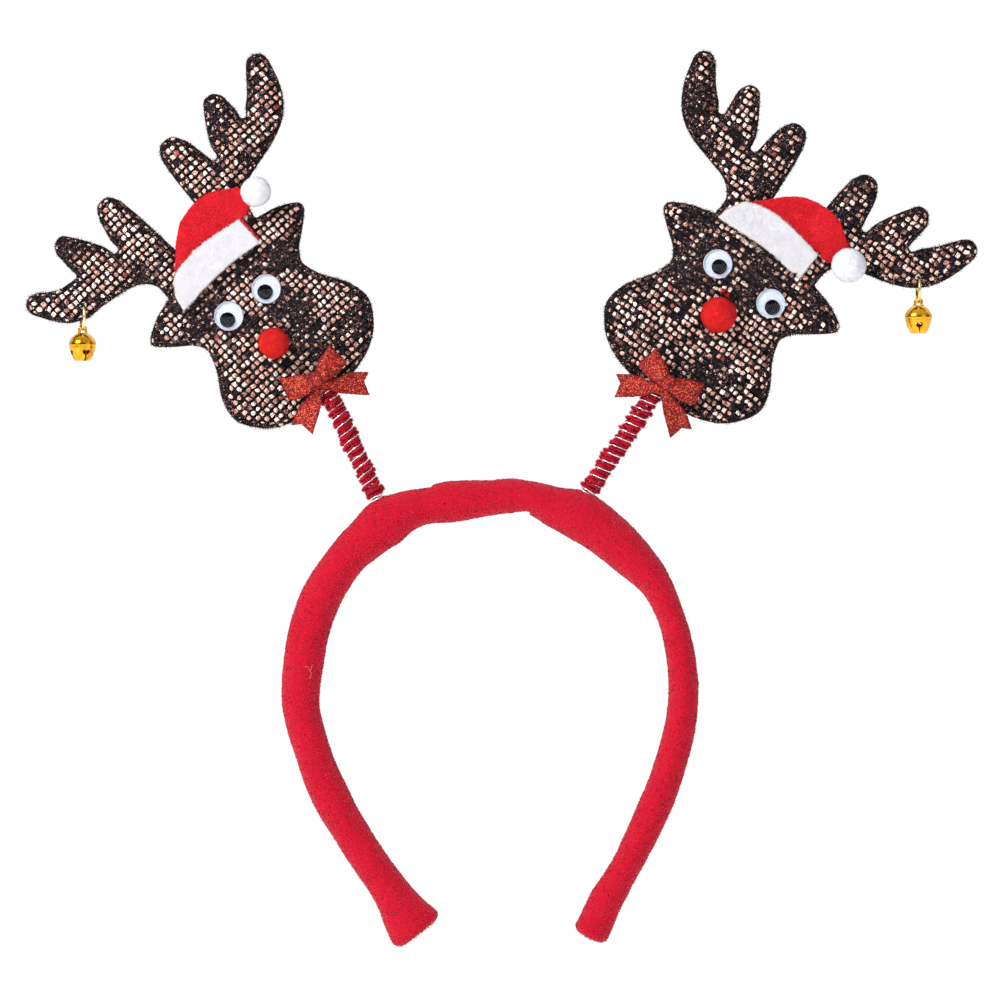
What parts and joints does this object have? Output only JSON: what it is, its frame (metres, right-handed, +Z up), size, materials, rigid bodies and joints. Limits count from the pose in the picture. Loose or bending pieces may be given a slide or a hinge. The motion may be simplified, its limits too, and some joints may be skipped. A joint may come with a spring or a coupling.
{
  "type": "reindeer antler headband",
  "caption": "Padded red headband that carries antlered reindeer heads on springs, with felt hats, toy eyes, pompom noses, glitter bows and hanging jingle bells.",
  "frame": {"origin": "inner face of the hoop at the top of its arch, where the headband sits on the wearer's head", "axes": "+X along the arch to the right reindeer, -Y out of the fronts of the heads, +Z up"},
  "size_m": [0.3177, 0.0194, 0.2985],
  "materials": {
    "red_fleece": "matte brushed fleece",
    "spring_steel": "bright drawn wire",
    "red_yarn": "matte twisted yarn",
    "sequin_fabric": "dark woven fabric with small rose-gold foil dots",
    "red_felt": "matte felt",
    "white_felt": "matte felt",
    "white_pompom": "matte short pile",
    "red_pompom": "matte short pile",
    "eye_white": "smooth",
    "eye_black": "smooth",
    "eye_clear": null,
    "red_glitter": "glitter on a fabric backing",
    "gold_metal": "bright gold plating"
  },
  "bodies": {
    "root": {"hoop": "red_fleece", "left_spring_wire": "spring_steel", "left_spring_yarn": "red_yarn", "left_head": "sequin_fabric", "left_hat": "red_felt", "left_hat_cuff": "white_felt", "left_hat_pompom": "white_pompom", "left_outer_eye_base": "eye_white", "left_outer_eye_pupil": "eye_black", "left_outer_eye_dome": "eye_clear", "left_inner_eye_base": "eye_white", "left_inner_eye_pupil": "eye_black", "left_inner_eye_dome": "eye_clear", "left_nose": "red_pompom", "left_bow_tails": "red_glitter", "left_bow_loops": "red_glitter", "left_bow_knot": "red_glitter", "left_ring": "gold_metal", "left_bell": "gold_metal", "left_bell_pellet": "gold_metal", "right_spring_wire": "spring_steel", "right_spring_yarn": "red_yarn", "right_head": "sequin_fabric", "right_hat": "red_felt", "right_hat_cuff": "white_felt", "right_hat_pompom": "white_pompom", "right_outer_eye_base": "eye_white", "right_outer_eye_pupil": "eye_black", "right_outer_eye_dome": "eye_clear", "right_inner_eye_base": "eye_white", "right_inner_eye_pupil": "eye_black", "right_inner_eye_dome": "eye_clear", "right_nose": "red_pompom", "right_bow_tails": "red_glitter", "right_bow_loops": "red_glitter", "right_bow_knot": "red_glitter", "right_ring": "gold_metal", "right_bell": "gold_metal", "right_bell_pellet": "gold_metal"}
  },
  "joints": []
}
